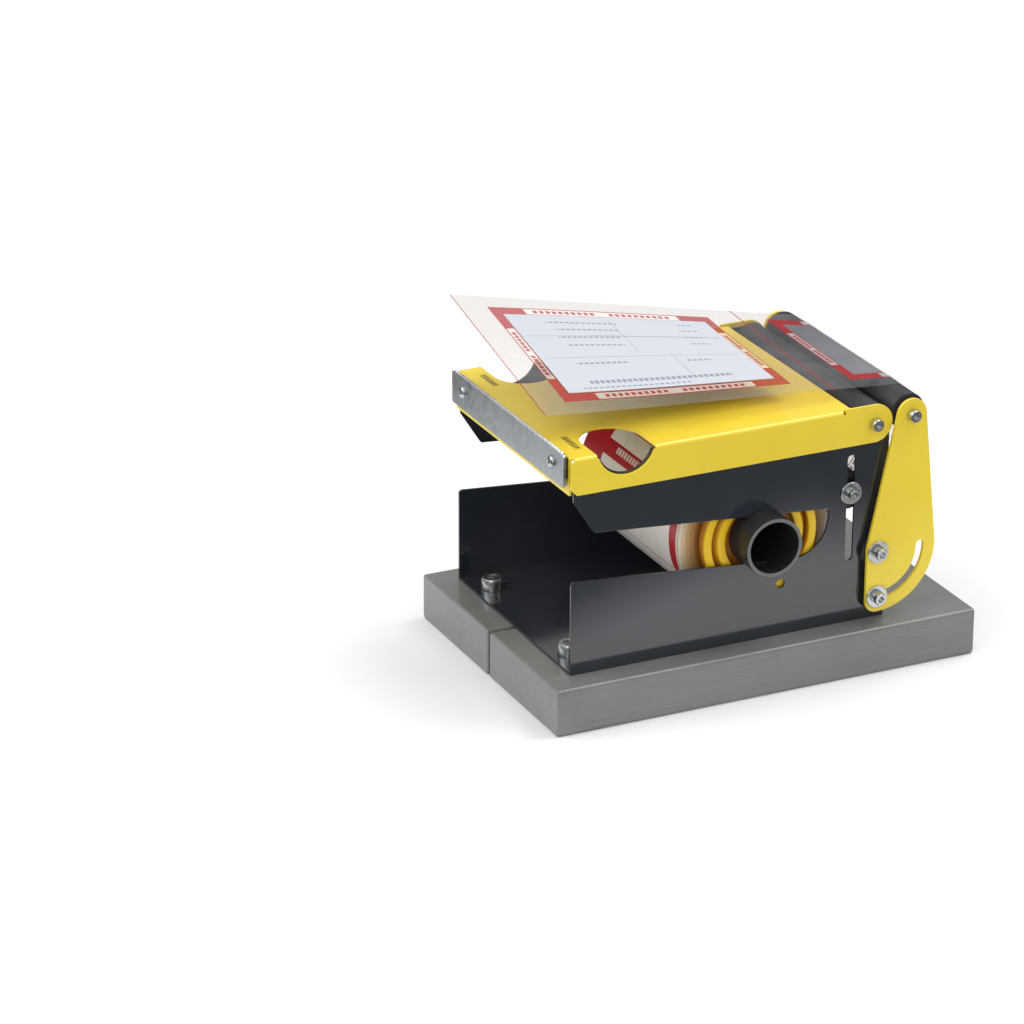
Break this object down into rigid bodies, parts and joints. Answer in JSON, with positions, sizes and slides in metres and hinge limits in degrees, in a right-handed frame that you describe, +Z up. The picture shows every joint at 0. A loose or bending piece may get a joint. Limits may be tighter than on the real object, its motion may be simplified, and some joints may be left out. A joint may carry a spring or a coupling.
{
  "type": "bench dispenser for document pouch film",
  "caption": "Manual bench dispenser: a roll of printed pouch film on a tube axle feeds over rollers and a lifting table with a tear blade, on a two-plank base.",
  "frame": {"origin": "centre of the base's underside, midway between the two planks' outer corners", "axes": "+Z up; -Y towards the operator, where the film is pulled off; +X to the operator's right"},
  "size_m": [0.2432, 0.359, 0.2807],
  "materials": {
    "plank_plastic": "extruded recycled plastic plank, satin grey",
    "black_paint": "gloss anthracite powder coat",
    "yellow_paint": "gloss yellow powder coat",
    "zinc_steel": "bright zinc-plated steel",
    "blade_steel": "galvanised steel, satin",
    "black_rubber": "black rubber strip",
    "roller_plastic": "black satin plastic sleeve",
    "spacer_plastic": "dark moulded plastic",
    "tube_plastic": "black extruded plastic pipe",
    "hub_plastic": "moulded yellow plastic",
    "core_board": "spiral-wound grey-brown cardboard",
    "wound_film": "wound printed film, many layers deep",
    "clear_film": "clear printed film, slightly hazy",
    "document_paper": "white office paper"
  },
  "bodies": {
    "chassis": {"base_plank_right": "plank_plastic", "base_plank_left": "plank_plastic", "chassis": "black_paint", "chassis_screws": "zinc_steel", "front_roller_axle": "zinc_steel", "front_roller_screws": "zinc_steel", "pivot_spacers": "spacer_plastic", "pivot_screws": "zinc_steel", "pivot_washers": "zinc_steel", "pivot_nuts": "zinc_steel", "lock_screws": "zinc_steel", "lock_washers": "zinc_steel", "lock_nuts": "zinc_steel", "film_web": "clear_film"},
    "table": {"table": "yellow_paint", "blade_strip": "black_rubber", "tear_blade": "blade_steel", "blade_screws": "zinc_steel", "blade_nuts": "zinc_steel", "film_tongue": "clear_film", "document": "document_paper"},
    "arms": {"arm_right": "yellow_paint", "arm_left": "yellow_paint", "rear_roller_axle": "zinc_steel", "rear_roller_screws": "zinc_steel"},
    "rear_roller": {"rear_roller": "roller_plastic"},
    "front_roller": {"front_roller": "roller_plastic"},
    "guide": {"guide_axle": "zinc_steel", "guide_screws": "zinc_steel", "guide_washers": "zinc_steel"},
    "guide_roller": {"guide_roller": "roller_plastic"},
    "axle": {"tube_axle": "tube_plastic"},
    "roll": {"hub_right": "hub_plastic", "hub_left": "hub_plastic", "cardboard_core": "core_board", "film_roll": "wound_film"}
  },
  "joints": [
    {"name": "table_lift", "type": "hinge", "parent": "chassis", "child": "table", "pos_m": [0, 0.0952, 0.1988], "axis": [-1, 0, 0], "range_deg": [0, 75], "deforming": ["film_tongue"]},
    {"name": "arm_swing", "type": "hinge", "parent": "chassis", "child": "arms", "pos_m": [0, 0.0988, 0.0946], "axis": [-1, 0, 0], "range_deg": [0, 88], "deforming": ["film_web"]},
    {"name": "rear_roller_spin", "type": "hinge", "parent": "arms", "child": "rear_roller", "pos_m": [0, 0.1248, 0.20301], "axis": [1, 0, 0], "continuous": true},
    {"name": "front_roller_spin", "type": "hinge", "parent": "chassis", "child": "front_roller", "pos_m": [0, 0.0952, 0.1988], "axis": [1, 0, 0], "continuous": true},
    {"name": "guide_slide", "type": "slide", "parent": "chassis", "child": "guide", "axis": [0, 0, 1], "range_m": [0, 0.027]},
    {"name": "guide_roller_spin", "type": "hinge", "parent": "guide", "child": "guide_roller", "pos_m": [0, 0.0773, 0.1446], "axis": [1, 0, 0], "continuous": true},
    {"name": "roll_slide", "type": "slide", "parent": "chassis", "child": "axle", "axis": [0, -0.9969, 0.0785], "range_m": [0, 0.11]},
    {"name": "roll_spin", "type": "hinge", "parent": "axle", "child": "roll", "pos_m": [0, 0.00208, 0.12014], "axis": [1, 0, 0], "continuous": true}
  ],
  "couplings": [
    {"joint": "rear_roller_spin", "follows": "roll_spin", "ratio": 4.3793},
    {"joint": "front_roller_spin", "follows": "roll_spin", "ratio": 4.3793},
    {"joint": "guide_roller_spin", "follows": "roll_spin", "ratio": -4.2333}
  ]
}
